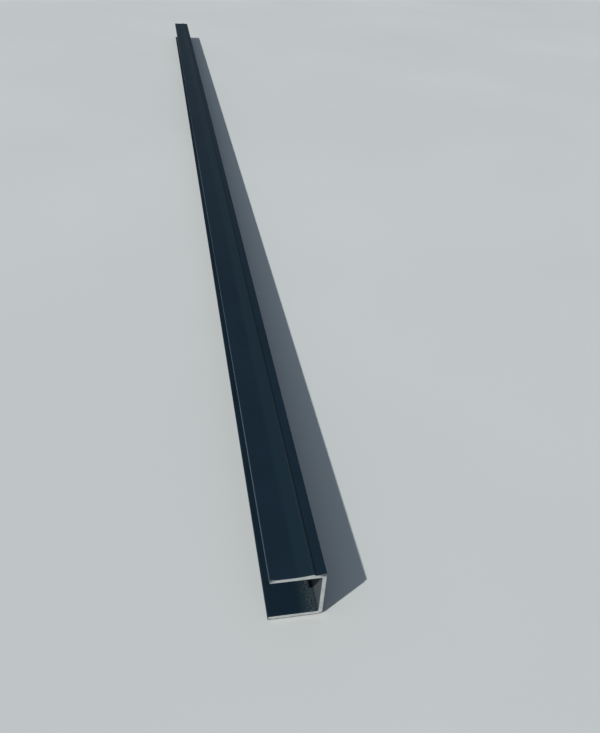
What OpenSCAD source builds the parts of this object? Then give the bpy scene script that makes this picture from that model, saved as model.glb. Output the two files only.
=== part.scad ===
// Edge channel: a U-section aluminium extrusion, lying on its lower flange.
// X crosses the flanges, with the web at +X and the open mouth at -X.
// Y runs along the bar, and Z goes up from the floor.

/* [Bar] */
// Cut length of the bar
bar_len = 1000; // [100:50:3000]

/* [Channel] */
// Clear height between the flanges
gap_h = 17; // [8:0.5:40]
// Clear depth from the flange tips to the web
gap_d = 16.5; // [12:0.5:40]
// Thickness of the web
web_t = 1.5; // [1:0.1:3]
// Thickness of the flanges, beside the ridge
flange_t = 1.5; // [1:0.1:3]

/* [Ridge on the upper flange] */
// Distance from the outer face of the web to the crest
crest_setback = 4.1; // [2.5:0.1:6]
// Height of the crest above the flat of the flange, before its edge is rounded
crest_h = 0.525; // [0.2:0.025:1]
// Width of the gentle ramp that climbs to the crest from the mouth side
ramp_w = 5.2; // [2:0.1:6]
// Width of the steep drop behind the crest
drop_w = 0.7; // [0.3:0.05:1.5]
// Radius of the crest
crest_r = 0.8; // [0.1:0.05:1]
// Radius of the hollow at the foot of the drop
foot_r = 0.3; // [0.1:0.05:0.6]

/* [Edges] */
// Radius of the two outer corners along the web
corner_r = 0.15; // [0.1:0.05:0.9]
// Radius of the two inner corners along the web
fillet_r = 0.4; // [0.1:0.05:1]
// Radius of the four long edges at the flange tips
tip_r = 0.3; // [0.1:0.05:0.45]

/* [Hidden] */

$fn = 64;
// How far a rounding tool reaches into or past the faces it meets
bleed = 0.05;

section_w = gap_d + web_t;
section_h = gap_h + 2 * flange_t;
tip_x = -section_w / 2;
back_x = section_w / 2;
web_x = back_x - web_t;
upper_z = section_h - flange_t;
crest_x = back_x - crest_setback;
foot_x = crest_x + drop_w;
ramp_lean = atan(crest_h / ramp_w);
drop_lean = atan(crest_h / drop_w);

coating = [0.10, 0.15, 0.20];

// Stock left between a corner at the origin and the arc that rounds it.
// One side of the corner runs along X, and the other is turned from it by the opening.
module corner_stock(r, opening) {
    half = opening / 2;
    centre = r / sin(half);
    out = (r + bleed) * [sin(half), cos(half)];
    rotate(half)
        difference() {
            polygon([
                [centre, 0],
                [centre - out.x, out.y],
                [-bleed / sin(half), 0],
                [centre - out.x, -out.y]
            ]);
            translate([centre, 0])
                circle(r);
        }
}

// The same stock at a corner of the section, with its first side turned from X
module corner_at(x, z, turn, r, opening = 90) {
    translate([x, z])
        rotate(turn)
            corner_stock(r, opening);
}

// One flange with the two long edges of its tip rounded, its lower face at height z
module flange(z) {
    difference() {
        translate([tip_x, z])
            square([section_w, flange_t]);
        corner_at(tip_x, z, 0, tip_r);
        corner_at(tip_x, z + flange_t, 270, tip_r);
    }
}

// Low ridge along the upper flange: a gentle ramp, a round crest and a steep drop
module ridge() {
    difference() {
        polygon([
            [crest_x - ramp_w, section_h],
            [crest_x, section_h - bleed],
            [foot_x, section_h],
            [crest_x, section_h + crest_h]
        ]);
        corner_at(crest_x, section_h + crest_h, 180 + ramp_lean, crest_r, 180 - ramp_lean - drop_lean);
    }
    corner_at(foot_x, section_h, 0, foot_r, 180 - drop_lean);
}

// The whole section, drawn with X to the right and Z up
module section() {
    difference() {
        union() {
            translate([web_x, 0])
                square([web_t, section_h]);
            flange(0);
            flange(upper_z);
            ridge();
            corner_at(web_x, flange_t, 90, fillet_r);
            corner_at(web_x, upper_z, 180, fillet_r);
        }
        corner_at(back_x, 0, 90, corner_r);
        corner_at(back_x, section_h, 180, corner_r);
    }
}

// The bar: the section pushed out along Y, half to each side of the origin
module edge_channel() {
    color(coating)
        rotate([90, 0, 0])
            linear_extrude(bar_len, center = true)
                section();
}

edge_channel();
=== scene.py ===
"""Dresses the edge channel: a powder-coated aluminium bar with bare sawn ends, lying on a pale floor."""

import logging
import math
from collections.abc import Callable, Sequence
from dataclasses import dataclass, field
from enum import Enum

import bpy
from mathutils import Matrix, Vector, noise


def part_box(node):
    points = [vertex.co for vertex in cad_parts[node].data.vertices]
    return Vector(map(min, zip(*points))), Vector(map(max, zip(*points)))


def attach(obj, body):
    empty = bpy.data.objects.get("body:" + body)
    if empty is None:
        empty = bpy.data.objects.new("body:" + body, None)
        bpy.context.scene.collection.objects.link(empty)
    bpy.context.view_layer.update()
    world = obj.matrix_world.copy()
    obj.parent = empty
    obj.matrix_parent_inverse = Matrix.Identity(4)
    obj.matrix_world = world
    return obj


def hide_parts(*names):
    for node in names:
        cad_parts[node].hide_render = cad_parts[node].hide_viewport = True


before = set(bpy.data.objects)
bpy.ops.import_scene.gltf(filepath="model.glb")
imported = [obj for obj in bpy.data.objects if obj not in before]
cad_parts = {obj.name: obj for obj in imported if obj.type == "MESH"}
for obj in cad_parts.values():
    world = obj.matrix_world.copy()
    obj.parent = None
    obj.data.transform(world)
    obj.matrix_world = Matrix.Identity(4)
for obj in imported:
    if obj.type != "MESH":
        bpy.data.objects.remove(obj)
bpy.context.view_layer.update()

MM = 0.001
SAME_POINT = 0.001 * MM
ROUNDING = 1e-6
BAR_NODE = "edge_channel"
BAR_BODY = "root"
BAR_PIECE = "channel_bar"
COLOUR_MAP = "OFBake"

# Places of the colour sockets on Blender's Mix node.
MIX_COLOURS = (6, 7)
MIX_RESULT = 2

Point = tuple[float, float]
Span = tuple[float, float]
Path = list[Point]
Triple = tuple[float, float, float]
Colour = Triple
Socket = bpy.types.NodeSocket

log = logging.getLogger("edge_channel")


def clamp(value: float, low: float = 0.0, high: float = 1.0) -> float:
    """Returns the value held between low and high."""
    return max(low, min(high, value))


def ramp(value: float, span: Span) -> float:
    """Returns 0 up to the span's first value, 1 from its second on, and a straight line between."""
    return clamp((value - span[0]) / (span[1] - span[0]))


def mix(a: Point, b: Point, share: float) -> Point:
    """Returns the point that lies the given share of the way from a to b."""
    return a[0] + (b[0] - a[0]) * share, a[1] + (b[1] - a[1]) * share


def rounded(corners: Path, radii: Sequence[float], facets: int = 6) -> Path:
    """Rounds the inner corners of an open outline with arcs.

    Args:
        corners: The outline's points, with its two ends.
        radii: One radius for each inner corner.
        facets: Straight pieces in each arc.

    Returns:
        The outline with every inner corner replaced by the points of its arc.
    """
    path = [corners[0]]
    for before, corner, after, radius in zip(corners, corners[1:], corners[2:], radii):
        here = Vector(corner)
        back = (Vector(before) - here).normalized()
        ahead = (Vector(after) - here).normalized()
        half = 0.5 * back.angle(ahead)
        centre = here + (back + ahead).normalized() * radius / math.sin(half)
        start = here + back * radius / math.tan(half) - centre
        sweep = start.angle_signed(here + ahead * radius / math.tan(half) - centre)
        for step in range(facets + 1):
            turn = Matrix.Rotation(-sweep * step / facets, 2)
            path.append(tuple(centre + turn @ start))
    path.append(corners[-1])
    return [p for n, p in enumerate(path) if n == 0 or math.dist(p, path[n - 1]) > SAME_POINT]


def shares_along(path: Path) -> list[float]:
    """Measures along a path.

    Args:
        path: The path's points.

    Returns:
        How far along the path each of its points lies, from 0 to 1.
    """
    runs = [0.0]
    for a, b in zip(path, path[1:]):
        runs.append(runs[-1] + math.dist(a, b))
    return [run / runs[-1] for run in runs]


def subdivided(path: Path, step: float) -> Path:
    """Adds points to a path.

    Args:
        path: The path's points.
        step: The longest straight piece to leave.

    Returns:
        The path with each longer piece cut into equal ones.
    """
    out = [path[0]]
    for a, b in zip(path, path[1:]):
        pieces = max(1, math.ceil(math.dist(a, b) / step - ROUNDING))
        out.extend(mix(a, b, n / pieces) for n in range(1, pieces + 1))
    return out


def points_at(path: Path, shares: Sequence[float]) -> Path:
    """Finds points on a path.

    Args:
        path: The path's points.
        shares: Rising shares of the path's length, from 0 to 1.

    Returns:
        One point for each share.
    """
    marks = shares_along(path)
    out = []
    piece = 0
    for share in shares:
        while piece < len(path) - 2 and share > marks[piece + 1]:
            piece += 1
        start, end = marks[piece], marks[piece + 1]
        out.append(mix(path[piece], path[piece + 1], (share - start) / (end - start)))
    return out


class Mask(Enum):
    """Masks that the bar's mesh holds for its finishes."""

    THIN_COAT = "thin_coat"
    EDGE_RUB = "edge_rub"
    RIDGE = "ridge"
    SMEAR = "smear"


class Slot(Enum):
    """Places of the two finishes in the bar's list of materials."""

    COAT = 0
    METAL = 1


class CutEnd(Enum):
    """The two sawn ends, by the way that each faces along the bar."""

    NEAR = -1
    FAR = 1


@dataclass(frozen=True)
class Grain:
    """A noise pattern: its grains in a metre, its finer layers, and its scale along X, Y and Z."""

    per_m: float
    layers: float = 2.0
    scale: Triple = (1.0, 1.0, 1.0)


class NodeSheet:
    """A node tree with short ways to add nodes and join them."""

    def __init__(self, tree: bpy.types.NodeTree) -> None:
        """Takes the tree that the nodes go into."""
        self.tree = tree

    def add(self, kind: str, inputs: dict[str | int, object], **settings: object) -> bpy.types.Node:
        """Adds one node.

        Args:
            kind: The node's type, without Blender's prefix.
            inputs: Values or sockets, by the name or the place of the input.
            settings: The node's own properties.

        Returns:
            The new node.
        """
        node = self.tree.nodes.new("ShaderNode" + kind)
        for name, value in settings.items():
            setattr(node, name, value)
        for name, value in inputs.items():
            self.put(node.inputs[name], value)
        return node

    def put(self, target: Socket, value: object) -> None:
        """Joins a socket to the target, or sets the target's own value.

        Args:
            target: The input to feed.
            value: A socket or a plain value.
        """
        if isinstance(value, Socket):
            self.tree.links.new(value, target)
        else:
            target.default_value = value

    def place(self) -> Socket:
        """Returns the piece's own coordinates."""
        return self.add("TexCoord", {}).outputs["Object"]

    def grain(self, grain: Grain, place: Socket) -> Socket:
        """Adds noise.

        Args:
            grain: The pattern.
            place: The coordinates that it is laid on.

        Returns:
            The noise, from 0 to 1.
        """
        scaled = self.add("Mapping", {"Vector": place, "Scale": grain.scale}).outputs["Vector"]
        inputs = {"Vector": scaled, "Scale": grain.per_m, "Detail": grain.layers}
        return self.add("TexNoise", inputs).outputs["Fac"]

    def span(self, value: Socket, source: Span, target: Span = (0.0, 1.0)) -> Socket:
        """Maps a span of values smoothly onto another.

        Args:
            value: The socket to map.
            source: The two values that become the ends of the target.
            target: The ends of the new span.

        Returns:
            The mapped value.
        """
        inputs = {"Value": value, "From Min": source[0], "From Max": source[1]}
        inputs.update({"To Min": target[0], "To Max": target[1]})
        return self.add("MapRange", inputs, interpolation_type="SMOOTHSTEP").outputs["Result"]

    def maths(self, operation: str, a: object, b: object) -> Socket:
        """Returns the result of one sum on two values."""
        return self.add("Math", {0: a, 1: b}, operation=operation).outputs[0]

    def weighted(self, first: Socket, *others: tuple[Socket, float]) -> Socket:
        """Adds shares of other values to a first one.

        Args:
            first: The value that counts in full.
            others: Each other value, with its share.

        Returns:
            The sum.
        """
        total = first
        for value, share in others:
            total = self.maths("ADD", total, self.maths("MULTIPLY", value, share))
        return total

    def balance(self, share: float, a: Socket, b: Socket) -> Socket:
        """Returns the given share of a, and the rest from b."""
        return self.weighted(self.maths("MULTIPLY", a, share), (b, 1.0 - share))

    def blend(self, share: Socket, a: object, b: object) -> Socket:
        """Mixes two colours.

        Args:
            share: How far the result goes from a to b, from 0 to 1.
            a: The first colour, or its socket.
            b: The second colour, or its socket.

        Returns:
            The mixed colour.
        """
        ends = {0: share}
        for place, colour in zip(MIX_COLOURS, (a, b)):
            ends[place] = colour if isinstance(colour, Socket) else (*colour, 1.0)
        return self.add("Mix", ends, data_type="RGBA").outputs[MIX_RESULT]

    def mask(self, mask: Mask) -> Socket:
        """Returns a mask, which the mesh holds for each of its points."""
        return self.add("Attribute", {}, attribute_name=mask.value).outputs["Fac"]

    def relief(self, height: Socket, depth: float) -> Socket:
        """Returns the directions of a surface with the given relief, for a shader."""
        return self.add("Bump", {"Height": height, "Distance": depth, "Strength": 1.0}).outputs["Normal"]


def new_finish(name: str) -> tuple[bpy.types.Material, NodeSheet, bpy.types.Node]:
    """Makes an empty material.

    Args:
        name: The material's name.

    Returns:
        The material, its node sheet and its surface shader.
    """
    material = bpy.data.materials.new(name)
    material.use_nodes = True
    return material, NodeSheet(material.node_tree), material.node_tree.nodes["Principled BSDF"]


@dataclass(frozen=True)
class PowderCoat:
    """Dark grey-blue satin powder coat, thin where the spray hardly reached, with painted sheen and
    reflection there, a painted highlight along its edges and painted light on its ridge.

    A span holds the values of a pattern or a mask between which one look turns into another.
    """

    deep: Colour = (0.0017, 0.0107, 0.0196)
    light: Colour = (0.0027, 0.0132, 0.0236)
    # painted light: the ridge is painted lighter than the flat coat, for the extra light that falls on its
    # slope
    ridge_painted_light: Colour = (0.0035, 0.0147, 0.0228)
    # thin coat with painted reflection: lighter mottled patches on the flanges beside the web
    mottled_reflection: Colour = (0.056, 0.074, 0.076)
    # thin coat with painted sheen: the lighter grey of the web's inner face
    thin: Colour = (0.060, 0.072, 0.080)
    # painted highlight: the flange tips and the crest are painted lighter, standing in for the light that
    # they catch
    painted_highlight: Colour = (0.080, 0.110, 0.140)
    cloud: Grain = Grain(38.0, 3.0)
    peel: Grain = Grain(800.0, 1.5)
    pores: Grain = Grain(4000.0, 1.0)
    die_lines: Grain = Grain(1400.0, 2.0, (1.0, 0.004, 1.0))
    blotches: Grain = Grain(2000.0, 3.0, (0.7, 1.1, 1.0))
    powder: Grain = Grain(9000.0, 1.0)
    cloud_in_tone: float = 0.6
    tone_span: Span = (0.38, 0.62)
    powder_in_mottle: float = 0.4
    mottle_span: Span = (0.59, 0.78)
    even_span: Span = (0.7, 1.0)
    highlight_span: Span = (0.35, 0.75)
    peel_in_sheen: float = 0.5
    sheen_span: Span = (0.3, 0.7)
    roughness: Span = (0.58, 0.66)
    specular: float = 0.22
    fine_in_relief: float = 0.25
    peel_depth: float = 0.040 * MM

    def material(self) -> bpy.types.Material:
        """Mixes the finish.

        Returns:
            The material, which reads the masks of the bar's mesh.
        """
        material, sheet, shader = new_finish("powder_coat")
        place = sheet.place()
        cloud = sheet.grain(self.cloud, place)
        peel = sheet.grain(self.peel, place)
        pores = sheet.grain(self.pores, place)
        die_lines = sheet.grain(self.die_lines, place)
        blotches = sheet.grain(self.blotches, place)
        powder = sheet.grain(self.powder, place)

        tone = sheet.span(sheet.balance(self.cloud_in_tone, cloud, pores), self.tone_span)
        colour = sheet.blend(tone, self.deep, self.light)
        # Painted light on the ridge.
        colour = sheet.blend(sheet.mask(Mask.RIDGE), colour, self.ridge_painted_light)

        # Thin coat with painted sheen and reflection at the channel's root: lighter grey on the web,
        # lighter mottling on the flanges.
        mottle = sheet.span(sheet.weighted(blotches, (powder, self.powder_in_mottle)), self.mottle_span)
        thin_sheen = sheet.mask(Mask.THIN_COAT)
        even = sheet.span(thin_sheen, self.even_span)
        thin_sheen_share = sheet.maths("MULTIPLY", thin_sheen, sheet.maths("MAXIMUM", mottle, even))
        colour = sheet.blend(thin_sheen_share, colour, sheet.blend(even, self.mottled_reflection, self.thin))

        # Painted highlight along the flange tips and on the crest, broken up by the die lines.
        streaks = sheet.span(die_lines, self.highlight_span)
        highlight_share = sheet.maths("MULTIPLY", sheet.mask(Mask.EDGE_RUB), streaks)
        sheet.put(shader.inputs["Base Color"], sheet.blend(highlight_share, colour, self.painted_highlight))

        sheen = sheet.balance(self.peel_in_sheen, peel, cloud)
        sheet.put(shader.inputs["Roughness"], sheet.span(sheen, self.sheen_span, self.roughness))
        shader.inputs["Specular IOR Level"].default_value = self.specular

        waves = sheet.weighted(peel, (pores, self.fine_in_relief), (die_lines, self.fine_in_relief))
        sheet.put(shader.inputs["Normal"], sheet.relief(waves, self.peel_depth))
        return material


@dataclass(frozen=True)
class SawnAluminium:
    """Bare aluminium, fresh from the saw, with the marks of its teeth."""

    bright: Colour = (0.766, 0.786, 0.780)
    dull: Colour = (0.624, 0.638, 0.642)
    # darker metal along the rims of the cuts and at the worn corners
    darkened: Colour = (0.10, 0.112, 0.130)
    tooth_marks: Grain = Grain(3600.0, 2.0, (1.0, 0.3, 0.02))
    cloud: Grain = Grain(420.0, 3.0)
    patches: Grain = Grain(1500.0, 2.0)
    saw_lean_deg: float = 62.0
    cloud_span: Span = (0.3, 0.75)
    mark_span: Span = (0.2, 0.7)
    mark_tone: Span = (0.5, 1.0)
    patch_span: Span = (0.1, 0.5)
    gloss_span: Span = (0.25, 0.75)
    roughness: Span = (0.30, 0.46)
    mark_depth: float = 0.012 * MM

    def material(self) -> bpy.types.Material:
        """Mixes the finish.

        Returns:
            The material, which reads the darkening mask of the bar's mesh.
        """
        material, sheet, shader = new_finish("sawn_aluminium")
        place = sheet.place()
        turn = (0.0, math.radians(self.saw_lean_deg), 0.0)
        leaned = sheet.add("Mapping", {"Vector": place, "Rotation": turn}).outputs["Vector"]
        marks = sheet.grain(self.tooth_marks, leaned)
        cloud = sheet.span(sheet.grain(self.cloud, place), self.cloud_span)
        patches = sheet.span(sheet.grain(self.patches, place), self.patch_span)

        tone = sheet.maths("MULTIPLY", cloud, sheet.span(marks, self.mark_span, self.mark_tone))
        colour = sheet.blend(tone, self.bright, self.dull)
        # Darker metal along the rims and at the worn corners, in patches.
        smear = sheet.maths("MULTIPLY", sheet.mask(Mask.SMEAR), patches)
        sheet.put(shader.inputs["Base Color"], sheet.blend(smear, colour, self.darkened))
        shader.inputs["Metallic"].default_value = 1.0
        sheet.put(shader.inputs["Roughness"], sheet.span(marks, self.gloss_span, self.roughness))
        sheet.put(shader.inputs["Normal"], sheet.relief(marks, self.mark_depth))
        return material


@dataclass(frozen=True)
class PaleFloor:
    """Smooth pale floor paint."""

    light: Colour = (0.532, 0.543, 0.516)
    dark: Colour = (0.507, 0.518, 0.492)
    cloud: Grain = Grain(3.0, 4.0)
    tone_span: Span = (0.3, 0.7)
    roughness: float = 0.9
    specular: float = 0.1

    def material(self) -> bpy.types.Material:
        """Mixes the finish.

        Returns:
            The material.
        """
        material, sheet, shader = new_finish("pale_floor")
        tone = sheet.span(sheet.grain(self.cloud, sheet.place()), self.tone_span)
        sheet.put(shader.inputs["Base Color"], sheet.blend(tone, self.dark, self.light))
        shader.inputs["Roughness"].default_value = self.roughness
        shader.inputs["Specular IOR Level"].default_value = self.specular
        return material


@dataclass(frozen=True)
class ChannelSection:
    """The bar's U section, drawn with X across the flanges and Z up.

    It is kept as a ribbon: pairs of points, one on the outer side of the wall and one on the inner
    side, from the tip of the lower flange round the web to the tip of the upper flange.
    """

    tip_x: float
    back_x: float
    gap: float = 17.0 * MM
    wall: float = 1.5 * MM
    crest_setback: float = 4.1 * MM
    crest_rise: float = 0.525 * MM
    ramp_run: float = 5.2 * MM
    drop_run: float = 0.7 * MM
    corner_r: float = 0.15 * MM
    fillet_r: float = 0.4 * MM
    tip_r: float = 0.3 * MM
    crest_r: float = 0.8 * MM
    foot_r: float = 0.3 * MM
    ramp_r: float = 16.0 * MM
    step: float = 0.25 * MM
    wall_cells: int = 14

    @property
    def flat_z(self) -> float:
        """Height of the upper flange beside its ridge."""
        return self.gap + 2 * self.wall

    @property
    def crest_z(self) -> float:
        """Height of the ridge's crest, before it is rounded."""
        return self.flat_z + self.crest_rise

    @property
    def web_x(self) -> float:
        """Place of the web's inner face."""
        return self.back_x - self.wall

    @property
    def crest_x(self) -> float:
        """Place of the ridge's crest."""
        return self.back_x - self.crest_setback

    def cell_shares(self) -> list[float]:
        """Returns where the lines between the wall's cells lie, from its outer side to its inner side."""
        return [cell / self.wall_cells for cell in range(self.wall_cells + 1)]

    def tip(self, outer_z: float, inner_z: float) -> Path:
        """Draws the rounded tip of a flange.

        Args:
            outer_z: Height of the flange's outer face.
            inner_z: Height of its inner face.

        Returns:
            Points across the tip, from the outer face to the inner one.
        """
        root_x = self.tip_x + self.tip_r
        corners = [(root_x, outer_z), (self.tip_x, outer_z), (self.tip_x, inner_z), (root_x, inner_z)]
        return points_at(rounded(corners, [self.tip_r] * 2), self.cell_shares())

    def ridge(self) -> Path:
        """Draws the top of the upper flange.

        Returns:
            Points from the web's corner over the ridge to the flange's tip.
        """
        top = self.flat_z
        corners = [
            (self.back_x - self.corner_r, top),
            (self.crest_x + self.drop_run, top),
            (self.crest_x, self.crest_z),
            (self.crest_x - self.ramp_run, top),
            (self.tip_x + self.tip_r, top),
        ]
        return rounded(corners, [self.foot_r, self.crest_r, self.ramp_r])

    def spans(self) -> list[tuple[Path, Path]]:
        """Draws both sides of the wall between the tips.

        Returns:
            The outer and the inner path of each stretch: lower flange, corner, web, corner, upper flange.
        """
        wall, corner, fillet = self.wall, self.corner_r, self.fillet_r
        top, roof = self.flat_z, self.flat_z - self.wall
        root_x, back_x, web_x = self.tip_x + self.tip_r, self.back_x, self.web_x
        return [
            ([(root_x, 0.0), (back_x - corner, 0.0)], [(root_x, wall), (web_x - fillet, wall)]),
            (
                rounded([(back_x - corner, 0.0), (back_x, 0.0), (back_x, corner)], [corner]),
                rounded([(web_x - fillet, wall), (web_x, wall), (web_x, wall + fillet)], [fillet]),
            ),
            ([(back_x, corner), (back_x, top - corner)], [(web_x, wall + fillet), (web_x, roof - fillet)]),
            (
                rounded([(back_x, top - corner), (back_x, top), (back_x - corner, top)], [corner]),
                rounded([(web_x, roof - fillet), (web_x, roof), (web_x - fillet, roof)], [fillet]),
            ),
            (self.ridge(), [(web_x - fillet, roof), (root_x, roof)]),
        ]

    def grid(self) -> list[Path]:
        """Fills the wall with points.

        Returns:
            Rows of points across the wall, from the lower tip to the upper one.
        """
        outer: Path = []
        inner: Path = []
        for outer_path, inner_path in self.spans():
            fine = subdivided(outer_path, self.step)
            outer.extend(fine[1:])
            inner.extend(points_at(inner_path, shares_along(fine))[1:])
        shares = self.cell_shares()
        rows = [[mix(a, b, share) for share in shares] for a, b in zip(outer[:-1], inner[:-1])]
        top = self.flat_z
        return [self.tip(0.0, self.wall), *rows, self.tip(top, top - self.wall)]


@dataclass(frozen=True)
class CoatPattern:
    """How the coat's colour changes round the section: thin at the channel's root, with painted sheen and
    reflection there, a painted highlight on its proud edges, and painted light on the ridge.

    A span holds the distance where a change begins and the one where it is complete.
    """

    section: ChannelSection
    on_web: float = 0.05 * MM
    corner_share: float = 0.36
    flange_share: float = 0.75
    web_span: Span = (0.0, 0.6 * MM)
    flange_span: Span = (0.2 * MM, 0.8 * MM)
    mottle_span: Span = (7.2 * MM, 2.0 * MM)
    tip_span: Span = (0.20 * MM, 0.04 * MM)
    tip_edge_span: Span = (1.2 * MM, 0.6 * MM)
    crest_span: Span = (0.8 * MM, 0.0)
    # share of painted highlight on the crest
    crest_highlight: float = 0.14
    ridge_light_span: Span = (0.0, 0.08 * MM)

    def thin_coat(self, point: Point, inside: bool) -> float:
        """Says how thin the coat is, and how much painted sheen and reflection it carries.

        Args:
            point: A point of the outline.
            inside: Whether it lies on the inner side of the wall.

        Returns:
            0 where the coat is full and plain, 1 on the inner face of the web, and less on the flanges
            beside it.
        """
        if not inside:
            return 0.0
        section, corner = self.section, self.corner_share
        from_web = section.web_x - point[0]
        if from_web < self.on_web:
            from_floor = point[1] - section.wall - section.fillet_r
            from_roof = section.flat_z - section.wall - section.fillet_r - point[1]
            return corner + (1.0 - corner) * ramp(min(from_floor, from_roof), self.web_span)
        beside = corner + (self.flange_share - corner) * ramp(from_web, self.flange_span)
        return beside * ramp(from_web, self.mottle_span) ** 2

    def edge_rub(self, point: Point) -> float:
        """Says how much painted highlight the coat carries, along the flange tips and on the crest.

        Args:
            point: A point of the outline.

        Returns:
            0 where there is none, 1 where the painted highlight is brightest.
        """
        section = self.section
        from_edge = min(point[1], section.flat_z - point[1])
        tip = ramp(point[0] - section.tip_x, self.tip_span) * ramp(from_edge, self.tip_edge_span)
        from_crest = math.dist(point, (section.crest_x, section.crest_z))
        return max(tip, self.crest_highlight * ramp(from_crest, self.crest_span))

    def ridge_light(self, point: Point) -> float:
        """Returns 1 on the ridge, whose coat is painted lighter to stand in for the light its slope
        catches, and 0 beside it.
        """
        return ramp(point[1] - self.section.flat_z, self.ridge_light_span)


@dataclass(frozen=True)
class WornSpot:
    """A worn place on the rim of a cut, an ellipse round one point of the section.

    The coat has chipped off there, the metal's edge is rounded over and made darker, and a corner
    may be knocked round.
    """

    x: float
    z: float
    wide: float
    tall: float
    chip: float
    bevel: float
    dull: float
    knock_r: float = 0.0
    knock_slope: float = 0.25
    fade: Span = (1.0, 2.0 / 7.0)

    def share(self, point: Point) -> float:
        """Returns how much of the wear reaches a point, from 0 to 1."""
        off_x, off_z = (point[0] - self.x) / self.wide, (point[1] - self.z) / self.tall
        return ramp(math.hypot(off_x, off_z), self.fade)

    def knocked(self, point: Point, normal: Point, depth: float) -> tuple[Point, Point]:
        """Rounds the corner at this place.

        Args:
            point: A point of the outline.
            normal: The outward direction there.
            depth: How far it lies from the cut.

        Returns:
            The point and its outward direction, moved onto the round corner if the point lay outside it.
        """
        radius = self.knock_r - self.knock_slope * depth
        if radius <= 0.0:
            return point, normal
        corner_x = math.copysign(radius, self.x)
        corner_z = -radius if self.z < radius else radius
        middle = (self.x - corner_x, self.z - corner_z)
        away = (point[0] - middle[0], point[1] - middle[1])
        run = math.hypot(*away)
        outside = away[0] * corner_x > 0.0 and away[1] * corner_z > 0.0
        if run <= radius or not outside:
            return point, normal
        out = (away[0] / run, away[1] / run)
        return (middle[0] + out[0] * radius, middle[1] + out[1] * radius), out


def worn_spots(section: ChannelSection) -> dict[CutEnd, tuple[WornSpot, ...]]:
    """Places the wear at the corners of the section.

    Args:
        section: The bar's section.

    Returns:
        The worn places of each cut.
    """
    tip, back, top = section.tip_x, section.back_x, section.flat_z
    near = (
        WornSpot(back, top, wide=3.2 * MM, tall=1.5 * MM, chip=0.48 * MM, bevel=0.30 * MM, dull=1.0),
        WornSpot(tip, top, wide=2.0 * MM, tall=1.5 * MM, chip=0.55 * MM, bevel=0.20 * MM, dull=1.0),
        WornSpot(
            back, 0.0, wide=2.2 * MM, tall=0.8 * MM,
            chip=0.20 * MM, bevel=0.10 * MM, dull=1.0, knock_r=1.2 * MM,
        ),
        WornSpot(tip, 0.0, wide=1.4 * MM, tall=1.2 * MM, chip=0.10 * MM, bevel=0.05 * MM, dull=0.5),
    )
    far = (
        WornSpot(tip, top, wide=1.6 * MM, tall=1.4 * MM, chip=0.40 * MM, bevel=0.20 * MM, dull=0.6),
        WornSpot(back, 0.0, wide=2.0 * MM, tall=1.4 * MM, chip=0.30 * MM, bevel=0.20 * MM, dull=0.5),
    )
    return {CutEnd.NEAR: near, CutEnd.FAR: far}


@dataclass(frozen=True)
class RimNoise:
    """Smooth noise round the rim of a cut, with another pattern at each end."""

    per_m: float
    seed: float
    shift: float = 0.0

    def at(self, point: Point, end: CutEnd) -> float:
        """Returns the noise at a point of the section, from about -1 to 1."""
        layer = self.shift + self.seed * end.value
        return noise.noise(Vector((point[0] * self.per_m, point[1] * self.per_m, layer)))


@dataclass(frozen=True)
class SkinRow:
    """One ring of points round the bar: how far it lies from the cut, and how high on the coat."""

    reach: float
    chip_share: float = 0.0
    lift: float = 1.0
    lip_share: float = 0.0

    @property
    def on_rim(self) -> bool:
        """Whether the ring is the rim of the cut itself."""
        return self.reach == 0.0 and self.chip_share == 0.0


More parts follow.
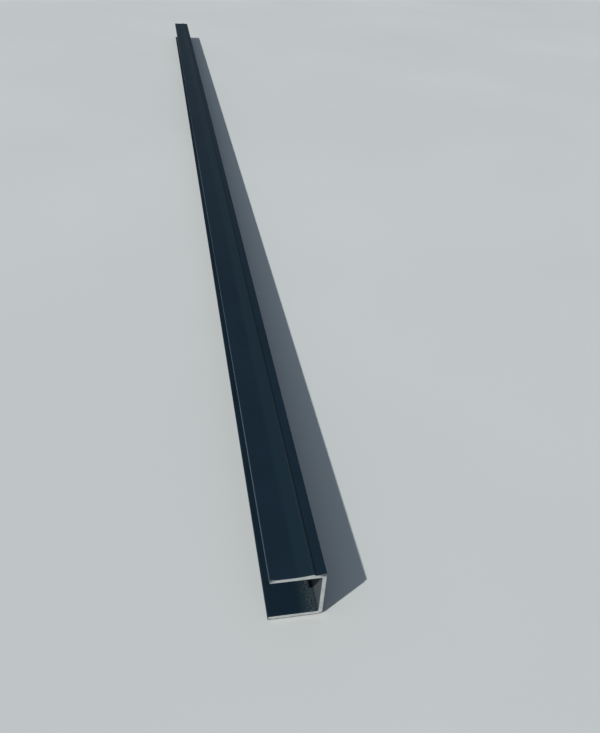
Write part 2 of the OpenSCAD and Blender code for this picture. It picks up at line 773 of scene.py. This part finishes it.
@dataclass
class EdgeChannel:
    """The whole bar as one closed mesh: coated skin, chipped coat at the cuts, and sawn ends.

    Chips, burrs and lips are lengths beside a cut. Bands and caps are places on the colour map, where
    the skin lies in bands with its ends enlarged, and the sawn faces lie above them.
    """

    section: ChannelSection
    near_y: float
    far_y: float
    coat: PowderCoat = field(default_factory=PowderCoat)
    metal: SawnAluminium = field(default_factory=SawnAluminium)
    film: float = 0.09 * MM
    chip_least: float = 0.01 * MM
    chip_mean: float = 0.07 * MM
    chip_most: float = 0.70 * MM
    chip_fine: float = 0.05 * MM
    chip_flake: float = 0.40 * MM
    flake_from: float = 0.35
    worn_evenly: float = 0.6
    fine_noise: RimNoise = RimNoise(1530.0, 11.0)
    flake_noise: RimNoise = RimNoise(315.0, 7.0, 5.0)
    burr: float = 0.03 * MM
    burr_noise: RimNoise = RimNoise(700.0, 21.0)
    lip_height: float = 0.208 * MM
    lip_swing: float = 0.104 * MM
    lip_noise: RimNoise = RimNoise(600.0, 13.0)
    bevel_width: float = 0.45 * MM
    # how much darker the rim of every cut is made
    rim_darkening: float = 0.7
    saw_wave: float = 0.02 * MM
    saw_across: Point = (0.9, 0.5)
    saw_along: Point = (-0.09, 0.05)
    saw_seed: float = 3.0
    middle_rows: int = 48
    band_count: int = 3
    band_height: float = 0.315
    band_fill: float = 0.98
    cap_band: Span = (0.962, 0.994)
    cap_margin: float = 0.005
    close_up: float = 4.0
    close_reach: float = 3.0 * MM
    calm_reach: float = 0.9 * MM
    plain_reach: float = 9.0 * MM
    smooth_below_deg: float = 40.0
    verts: list[Triple] = field(default_factory=list)
    faces: list[tuple[int, ...]] = field(default_factory=list)
    slots: list[int] = field(default_factory=list)
    places: list[tuple[Point, ...]] = field(default_factory=list)
    masks: dict[Mask, list[float]] = field(default_factory=lambda: {mask: [] for mask in Mask})
    pattern: CoatPattern = field(init=False)
    wear: dict[CutEnd, tuple[WornSpot, ...]] = field(init=False)
    grid: list[Path] = field(init=False)
    loop: list[tuple[int, int]] = field(init=False)
    outline: Path = field(init=False)
    normals: list[Point] = field(init=False)

    def __post_init__(self) -> None:
        """Works out the outline that every ring of the skin follows, and what wears it."""
        self.pattern = CoatPattern(self.section)
        self.wear = worn_spots(self.section)
        self.grid = self.section.grid()
        last, cells = len(self.grid) - 1, self.section.wall_cells
        self.loop = [(0, cell) for cell in range(cells, -1, -1)]
        self.loop += [(row, 0) for row in range(1, last + 1)]
        self.loop += [(last, cell) for cell in range(1, cells + 1)]
        self.loop += [(row, cells) for row in range(last - 1, 0, -1)]
        self.outline = [self.grid[row][cell] for row, cell in self.loop]
        self.normals = [self.normal(n) for n in range(len(self.outline))]

    @property
    def length(self) -> float:
        """Length of the bar."""
        return self.far_y - self.near_y

    def cut_y(self, end: CutEnd) -> float:
        """Returns the place of a cut along the bar."""
        return self.near_y if end is CutEnd.NEAR else self.far_y

    def normal(self, n: int) -> Point:
        """Finds the outward direction of the outline.

        Args:
            n: The number of one of its points.

        Returns:
            The direction there, one unit long.
        """
        before = self.outline[n - 1]
        after = self.outline[(n + 1) % len(self.outline)]
        run = math.dist(before, after)
        return (after[1] - before[1]) / run, (before[0] - after[0]) / run

    def end_rows(self) -> list[SkinRow]:
        """Lists the rings close to a cut.

        Returns:
            The rings from the cut inwards: the rim, the bare metal, the coat's broken edge, and the coat.
        """
        return [
            SkinRow(reach=0.0, lift=0.0),
            SkinRow(reach=0.0, chip_share=1.0, lift=0.0),
            SkinRow(reach=0.02 * MM, chip_share=1.0, lift=0.75, lip_share=0.8),
            SkinRow(reach=self.film, chip_share=1.0, lip_share=1.0),
            SkinRow(reach=self.calm_reach),
            SkinRow(reach=self.close_reach),
            SkinRow(reach=self.plain_reach),
        ]

    def chip(self, point: Point, end: CutEnd) -> float:
        """Says how far the coat has broken away from the cut.

        Args:
            point: A point of the outline.
            end: Which cut it is.

        Returns:
            The length of bare metal beside the cut.
        """
        fine = 0.5 + 0.5 * self.fine_noise.at(point, end)
        flake = clamp(self.flake_noise.at(point, end) - self.flake_from)
        broken = self.chip_least + self.chip_fine * fine + self.chip_flake * flake
        ragged = self.worn_evenly + (1.0 - self.worn_evenly) * fine
        worn = max(spot.chip * spot.share(point) * ragged for spot in self.wear[end])
        return clamp(max(broken, worn), self.bevel(point, end) + self.chip_least, self.chip_most)

    def lip(self, point: Point, end: CutEnd) -> float:
        """Says how far the saw has dragged the coat out, on the face that the blade left last.

        Args:
            point: A point of the outline.
            end: Which cut it is.

        Returns:
            The height of the lip, which is 0 anywhere but underneath.
        """
        if point[1] > self.film:
            return 0.0
        return self.lip_height + self.lip_swing * self.lip_noise.at((point[0], 0.0), end)

    def bevel(self, point: Point, end: CutEnd) -> float:
        """Returns how far the metal's edge is rounded over at a point of a cut's rim."""
        return max(spot.bevel * spot.share(point) for spot in self.wear[end])

    def saw_relief(self, point: Point, end: CutEnd) -> float:
        """Says how the sawn face waves in and out.

        Args:
            point: A point of the section.
            end: Which cut it is.

        Returns:
            How far the face is sunk there, or less than 0 where it stands out.
        """
        x, z = point[0] / MM, point[1] / MM
        across, along = (way[0] * x + way[1] * z for way in (self.saw_across, self.saw_along))
        return self.saw_wave * noise.noise(Vector((across, along, self.saw_seed * end.value)))

    def smear(self, point: Point, end: CutEnd, at_rim: bool) -> float:
        """Says how much darker the bare metal of a cut is made: by a set share all round its rim, and more
        at the worn spots.

        Args:
            point: A point of the section.
            end: Which cut it is.
            at_rim: Whether it lies on the cut's rim.

        Returns:
            0 for plain metal, 1 for the darkest.
        """
        worn = max(spot.dull * spot.share(point) for spot in self.wear[end])
        return max(worn, self.rim_darkening if at_rim else 0.0)

    def add_point(self, point: Point, y: float, inside: bool, smear: float) -> int:
        """Adds one point of the mesh and its masks.

        Args:
            point: Its place in the section.
            y: Its place along the bar.
            inside: Whether it lies on the inner side of the wall.
            darkening: How much darker bare metal is made there.

        Returns:
            The point's number.
        """
        self.verts.append((point[0], y, point[1]))
        # Masks: thin coat with painted sheen and reflection, painted highlight on the edges, painted light
        # on the ridge, and darker metal at the cuts.
        self.masks[Mask.THIN_COAT].append(self.pattern.thin_coat(point, inside))
        self.masks[Mask.EDGE_RUB].append(self.pattern.edge_rub(point))
        self.masks[Mask.RIDGE].append(self.pattern.ridge_light(point))
        self.masks[Mask.SMEAR].append(smear)
        return len(self.verts) - 1

    def add_ring(self, row: SkinRow, end: CutEnd) -> list[int]:
        """Adds one ring of the skin.

        Args:
            row: Where the ring lies.
            end: The cut that it is measured from.

        Returns:
            The numbers of its points.
        """
        ring = []
        for n, (point, normal) in enumerate(zip(self.outline, self.normals)):
            sink = self.film * (1.0 - row.lift) - row.lip_share * self.lip(point, end)
            depth = row.reach + row.chip_share * self.chip(point, end)
            if row.on_rim:
                burr = self.burr * clamp(self.burr_noise.at(point, end))
                depth = self.saw_relief(point, end) - burr + self.bevel(point, end)
                sink -= burr
            inside = self.loop[n][1] == self.section.wall_cells
            smear = self.smear(point, end, True)
            for spot in self.wear[end]:
                point, normal = spot.knocked(point, normal, depth)
            place = (point[0] - sink * normal[0], point[1] - sink * normal[1])
            ring.append(self.add_point(place, self.cut_y(end) - end.value * depth, inside, smear))
        return ring

    def skin_rings(self) -> tuple[list[list[int]], list[float]]:
        """Adds every ring of the skin.

        Returns:
            The rings from the near cut to the far one, and each ring's mean distance from the near cut.
        """
        rows = self.end_rows()
        rings = [self.add_ring(row, CutEnd.NEAR) for row in rows]
        reaches = [row.reach + row.chip_share * self.chip_mean for row in rows]
        runs = list(reaches)
        first, last = rows[-1].reach, self.length - rows[-1].reach
        for n in range(1, self.middle_rows):
            runs.append(first + (last - first) * n / self.middle_rows)
            rings.append(self.add_ring(SkinRow(runs[-1]), CutEnd.NEAR))
        for row, reach in zip(reversed(rows), reversed(reaches)):
            rings.append(self.add_ring(row, CutEnd.FAR))
            runs.append(self.length - reach)
        return rings, runs

    def add_face(self, corners: Sequence[int], slot: Slot, places: Sequence[Point]) -> None:
        """Adds one face.

        Args:
            corners: The numbers of its points.
            slot: Its finish.
            places: Where its corners lie on the colour map.
        """
        self.faces.append(tuple(corners))
        self.slots.append(slot.value)
        self.places.append(tuple(places))

    def stretched(self, run: float) -> float:
        """Measures along the bar as the colour map counts it, with the ends enlarged.

        Args:
            run: A distance from the near cut.

        Returns:
            The distance on the map.
        """
        near = min(run, self.close_reach)
        far = max(0.0, run - (self.length - self.close_reach))
        return run + (self.close_up - 1.0) * (near + far)

    def add_skin(self, rings: list[list[int]], runs: list[float]) -> None:
        """Joins the rings with faces, which lie on the colour map in bands, one above the other.

        Args:
            rings: The rings' point numbers.
            runs: Each ring's distance from the near cut.
        """
        around = [self.band_fill * share for share in shares_along(self.outline + self.outline[:1])]
        marks = [self.stretched(run) for run in runs]
        total = marks[-1]
        middles = [0.5 * (a + b) / total for a, b in zip(marks, marks[1:])]
        bands = [min(self.band_count - 1, int(self.band_count * middle)) for middle in middles]
        starts = [marks[bands.index(band)] for band in range(self.band_count)] + [total]
        widest = max(b - a for a, b in zip(starts, starts[1:]))
        count = len(self.outline)
        for row, band in enumerate(bands):
            slot = Slot.METAL if row in (0, len(bands) - 1) else Slot.COAT
            left, right = ((marks[row + side] - starts[band]) / widest for side in (0, 1))
            for n in range(count):
                m = (n + 1) % count
                low, high = (self.band_height * (band + around[n + side]) for side in (0, 1))
                corners = (rings[row][n], rings[row + 1][n], rings[row + 1][m], rings[row][m])
                self.add_face(corners, slot, ((left, low), (right, low), (right, high), (left, high)))

    def cut_points(self, ring: list[int], end: CutEnd) -> dict[tuple[int, int], int]:
        """Adds the points of a sawn face.

        Args:
            ring: The ring of points round the cut.
            end: Which cut it is.

        Returns:
            The number of each point of the face, by its row and cell.
        """
        numbers = dict(zip(self.loop, ring))
        cells = self.section.wall_cells
        for row in range(1, len(self.grid) - 1):
            rim_a, rim_b = (self.verts[numbers[row, side]] for side in (0, cells))
            for cell in range(1, cells):
                point = mix((rim_a[0], rim_a[2]), (rim_b[0], rim_b[2]), cell / cells)
                from_rim = cell * self.section.wall / cells
                round_off = self.bevel(point, end) * ramp(from_rim, (self.bevel_width, 0.0)) ** 2
                y = self.cut_y(end) - end.value * (self.saw_relief(point, end) + round_off)
                numbers[row, cell] = self.add_point(point, y, False, self.smear(point, end, False))
        return numbers

    def add_cut(self, ring: list[int], end: CutEnd) -> None:
        """Fills a cut with its sawn face, which takes its own share of the colour map's upper edge.

        Args:
            ring: The ring of points round the cut.
            end: Which cut it is.
        """
        numbers = self.cut_points(ring, end)
        last, cells = len(self.grid) - 1, self.section.wall_cells
        share = 1.0 / len(CutEnd)
        start = share * list(CutEnd).index(end) + self.cap_margin
        width = share - 2.0 * self.cap_margin
        low, high = self.cap_band
        for row in range(last):
            left, right = (start + width * (row + side) / last for side in (0, 1))
            for cell in range(cells):
                down, up = (low + (high - low) * (cell + side) / cells for side in (0, 1))
                keys = ((row, cell), (row, cell + 1), (row + 1, cell + 1), (row + 1, cell))
                places = ((left, down), (left, up), (right, up), (right, down))
                if end is CutEnd.NEAR:
                    keys, places = keys[::-1], places[::-1]
                self.add_face([numbers[key] for key in keys], Slot.METAL, places)

    def mesh(self) -> bpy.types.Mesh:
        """Makes the bar's mesh.

        Returns:
            The mesh with its masks, its finishes' places and its colour map.
        """
        rings, runs = self.skin_rings()
        self.add_skin(rings, runs)
        self.add_cut(rings[0], CutEnd.NEAR)
        self.add_cut(rings[-1], CutEnd.FAR)
        mesh = bpy.data.meshes.new(BAR_PIECE)
        mesh.from_pydata(self.verts, [], self.faces)
        mesh.polygons.foreach_set("material_index", self.slots)
        layer = mesh.uv_layers.new(name=COLOUR_MAP)
        flat = [value for face in self.places for place in face for value in place]
        layer.data.foreach_set("uv", flat)
        for mask, values in self.masks.items():
            mesh.attributes.new(mask.value, "FLOAT", "POINT").data.foreach_set("value", values)
        mesh.shade_smooth()
        mesh.set_sharp_from_angle(angle=math.radians(self.smooth_below_deg))
        mesh.validate()
        return mesh

    def build(self) -> bpy.types.Object:
        """Dresses the bar.

        Returns:
            The bar, riding on its body in place of the plain solid.
        """
        mesh = self.mesh()
        mesh.materials.append(self.coat.material())
        mesh.materials.append(self.metal.material())
        bar = bpy.data.objects.new(BAR_PIECE, mesh)
        bpy.context.scene.collection.objects.link(bar)
        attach(bar, BAR_BODY)
        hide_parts(BAR_NODE)
        return bar


@dataclass(frozen=True)
class Studio:
    """A pale floor, one key light from the front left, and soft light from all round."""

    floor_reach: float = 300.0
    floor_drop: float = 0.45 * MM
    key_strength: float = 3.55
    key_travel: Triple = (0.6195, 0.3617, -0.6969)
    key_spread_deg: float = 1.2
    low_light: Colour = (0.175, 0.168, 0.160)
    high_light: Colour = (0.290, 0.385, 0.520)
    sky_span: Span = (0.35, 1.0)
    left_gain: float = 0.35
    finish: PaleFloor = field(default_factory=PaleFloor)

    def build_floor(self) -> bpy.types.Object:
        """Lays the floor.

        Returns:
            The floor that the bar lies on.
        """
        reach, drop = self.floor_reach, self.floor_drop
        mesh = bpy.data.meshes.new("floor")
        corners = [(x * reach, y * reach, -drop) for x, y in ((-1, -1), (1, -1), (1, 1), (-1, 1))]
        mesh.from_pydata(corners, [], [(0, 1, 2, 3)])
        mesh.materials.append(self.finish.material())
        floor = bpy.data.objects.new("floor", mesh)
        bpy.context.scene.collection.objects.link(floor)
        return floor

    def build_key(self) -> bpy.types.Object:
        """Hangs the key light.

        Returns:
            The light.
        """
        lamp = bpy.data.lights.new("key", "SUN")
        lamp.energy = self.key_strength
        lamp.angle = math.radians(self.key_spread_deg)
        key = bpy.data.objects.new("key", lamp)
        key.rotation_euler = Vector(self.key_travel).to_track_quat("-Z", "Y").to_euler()
        bpy.context.scene.collection.objects.link(key)
        return key

    def build_sky(self) -> bpy.types.World:
        """Sets the light from all round, dim at the horizon and brighter overhead and on the left.

        Returns:
            The scene's world.
        """
        world = bpy.data.worlds.new("studio")
        world.use_nodes = True
        sheet = NodeSheet(world.node_tree)
        way = sheet.add("TexCoord", {}).outputs["Generated"]
        parts = sheet.add("SeparateXYZ", {"Vector": way}).outputs
        colour = sheet.blend(sheet.span(parts["Z"], self.sky_span), self.low_light, self.high_light)
        strength = sheet.maths("SUBTRACT", 1.0, sheet.maths("MULTIPLY", parts["X"], self.left_gain))
        light = world.node_tree.nodes["Background"]
        sheet.put(light.inputs["Color"], colour)
        sheet.put(light.inputs["Strength"], strength)
        bpy.context.scene.world = world
        return world


@dataclass(frozen=True)
class BenchCamera:
    """A hand-held camera over the bar's near end, looking down along it."""

    lens_mm: float = 32.136
    sensor_mm: float = 36.0
    yaw_deg: float = -12.906
    pitch_deg: float = 35.664
    roll_deg: float = 4.336
    stand: Triple = (-32.138 * MM, -120.219 * MM, 188.165 * MM)
    nearest: float = 10.0 * MM

    def build(self, near_y: float) -> bpy.types.Object:
        """Places the camera.

        Args:
            near_y: Place of the bar's near end, which the camera's stand is measured from.

        Returns:
            The scene's camera.
        """
        lens = bpy.data.cameras.new("camera")
        lens.sensor_width = self.sensor_mm
        lens.lens = self.lens_mm
        lens.clip_start = self.nearest
        camera = bpy.data.objects.new("camera", lens)
        turn = Matrix.Rotation(math.radians(self.yaw_deg), 4, "Z")
        turn @= Matrix.Rotation(math.radians(90.0 - self.pitch_deg), 4, "X")
        turn @= Matrix.Rotation(math.radians(self.roll_deg), 4, "Z")
        camera.matrix_world = Matrix.Translation(Vector(self.stand) + Vector((0.0, near_y, 0.0))) @ turn
        bpy.context.scene.collection.objects.link(camera)
        bpy.context.scene.camera = camera
        return camera


def main() -> None:
    """Builds the camera, the studio and the bar, in that order."""
    logging.basicConfig(level=logging.INFO, format="%(name)s: %(message)s")
    bpy.context.scene.view_settings.view_transform = "Standard"
    low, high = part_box(BAR_NODE)

    camera = BenchCamera().build(low.y)
    log.info("camera at %s", [round(value, 3) for value in camera.matrix_world.translation])

    studio = Studio()
    builders: list[Callable[[], bpy.types.ID]] = [studio.build_floor, studio.build_key, studio.build_sky]
    for builder in builders:
        log.info("studio: %s", builder().name)

    section = ChannelSection(tip_x=low.x, back_x=high.x)
    bar = EdgeChannel(section, near_y=low.y, far_y=high.y).build()
    log.info("%s: %d faces", bar.name, len(bar.data.polygons))


if __name__ == "__main__":
    main()
